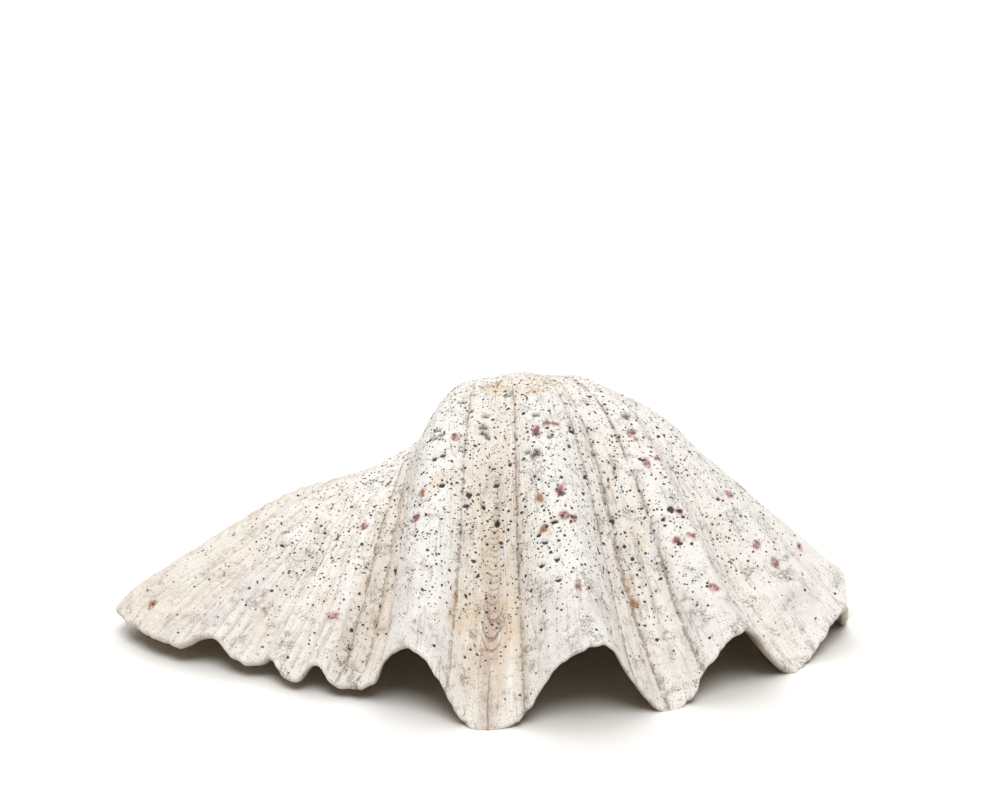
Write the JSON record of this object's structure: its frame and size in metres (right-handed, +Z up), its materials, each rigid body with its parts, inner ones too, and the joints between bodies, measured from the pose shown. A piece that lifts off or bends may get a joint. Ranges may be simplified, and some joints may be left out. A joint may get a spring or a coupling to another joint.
{
  "type": "giant clam shell",
  "caption": "Ribbed giant clam valve lying hollow side down, with a deeply scalloped front margin, folds fanning from the umbo and a chalky, pitted outside.",
  "frame": {"origin": "middle of the shell's footprint, on the ground it lies on", "axes": "+X along the shell's length, away from the long wing; -Y to the scalloped front margin, +Y to the hinge side; +Z up"},
  "size_m": [0.2582, 0.1566, 0.0857],
  "materials": {
    "shell": "chalky matt with many small dark pits"
  },
  "bodies": {
    "root": {"shell_valve": "shell"}
  },
  "joints": []
}
